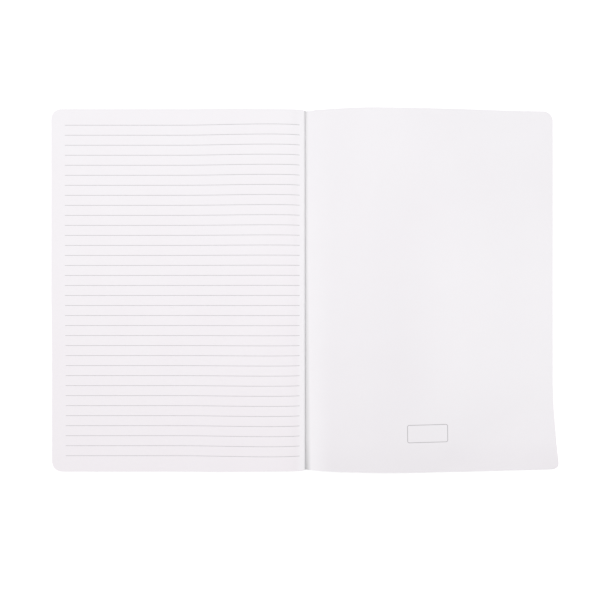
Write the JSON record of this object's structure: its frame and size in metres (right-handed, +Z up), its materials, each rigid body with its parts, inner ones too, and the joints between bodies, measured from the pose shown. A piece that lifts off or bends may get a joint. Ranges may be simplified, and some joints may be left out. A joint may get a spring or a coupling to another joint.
{
  "type": "notebook",
  "caption": "Soft-cover exercise notebook, saddle stitched with wire, open at its inside back cover with the ruled leaves on the left.",
  "frame": {"origin": "middle of the open notebook's footprint, on the surface it lies on", "axes": "+X from the fold towards the back cover's fore edge, +Y towards the head of the page, +Z up"},
  "size_m": [0.4146, 0.297, 0.0191],
  "materials": {
    "paper": "matt uncoated writing paper, white with a faint cool pink cast",
    "cover_card": "smooth white card, matt inside and satin outside",
    "staple_wire": "drawn galvanised wire"
  },
  "bodies": {
    "page_block": {"sheet_01": "paper", "sheet_02": "paper", "sheet_03": "paper", "sheet_04": "paper", "sheet_05": "paper", "sheet_06": "paper", "sheet_07": "paper", "sheet_08": "paper", "sheet_09": "paper", "sheet_10": "paper", "sheet_11": "paper", "sheet_12": "paper", "sheet_13": "paper", "sheet_14": "paper", "sheet_15": "paper", "sheet_16": "paper", "sheet_17": "paper", "sheet_18": "paper", "sheet_19": "paper", "sheet_20": "paper", "sheet_21": "paper", "sheet_22": "paper", "sheet_23": "paper", "sheet_24": "paper", "cover_spine": "cover_card", "staple_tail": "staple_wire", "staple_head": "staple_wire"},
    "front_cover_panel": {"front_cover": "cover_card"},
    "crease_strip": {"back_cover_crease": "cover_card"},
    "back_cover_inner_panel": {"back_cover_inner": "cover_card"},
    "back_cover_outer_panel": {"back_cover_outer": "cover_card"},
    "back_cover_curled_corner": {"back_cover_corner": "cover_card"},
    "last_leaf_inner_panel": {"last_leaf_inner": "paper"},
    "last_leaf_outer_panel": {"last_leaf_outer": "paper"}
  },
  "joints": [
    {"name": "front_cover_turn", "type": "hinge", "parent": "page_block", "child": "front_cover_panel", "pos_m": [-0.00328, 0, 0], "axis": [0, 1, 0], "range_deg": [-175, 0]},
    {"name": "back_cover_turn", "type": "hinge", "parent": "page_block", "child": "crease_strip", "pos_m": [0.00292, 0, 0.00532], "axis": [0, 1, 0], "range_deg": [-104, 0], "deforming": ["back_cover_crease"]},
    {"name": "back_cover_wrap", "type": "hinge", "parent": "crease_strip", "child": "back_cover_inner_panel", "pos_m": [0.01072, 0, 0.00642], "axis": [0, 1, 0], "range_deg": [-58, 0]},
    {"name": "back_cover_flatten", "type": "hinge", "parent": "back_cover_inner_panel", "child": "back_cover_outer_panel", "pos_m": [0.05272, 0, 0.01406], "axis": [0, 1, 0], "range_deg": [-24, 0]},
    {"name": "corner_uncurl", "type": "hinge", "parent": "back_cover_outer_panel", "child": "back_cover_curled_corner", "pos_m": [0.10272, -0.1485, 0.01084], "axis": [0.815, 0.5738, -0.0811], "range_deg": [0, 20.5]},
    {"name": "leaf_turn", "type": "hinge", "parent": "page_block", "child": "last_leaf_inner_panel", "pos_m": [-0.00168, 0, 0.00842], "axis": [0, 1, 0], "range_deg": [0, 165]},
    {"name": "leaf_relax", "type": "hinge", "parent": "last_leaf_inner_panel", "child": "last_leaf_outer_panel", "pos_m": [-0.05728, 0, 0.011], "axis": [0, 1, 0], "range_deg": [0, 16]}
  ],
  "couplings": [
    {"joint": "back_cover_wrap", "follows": "back_cover_turn", "ratio": 0.555},
    {"joint": "back_cover_flatten", "follows": "back_cover_turn", "ratio": 0.226},
    {"joint": "corner_uncurl", "follows": "back_cover_turn", "ratio": -0.1923},
    {"joint": "leaf_relax", "follows": "leaf_turn", "ratio": 0.095}
  ]
}
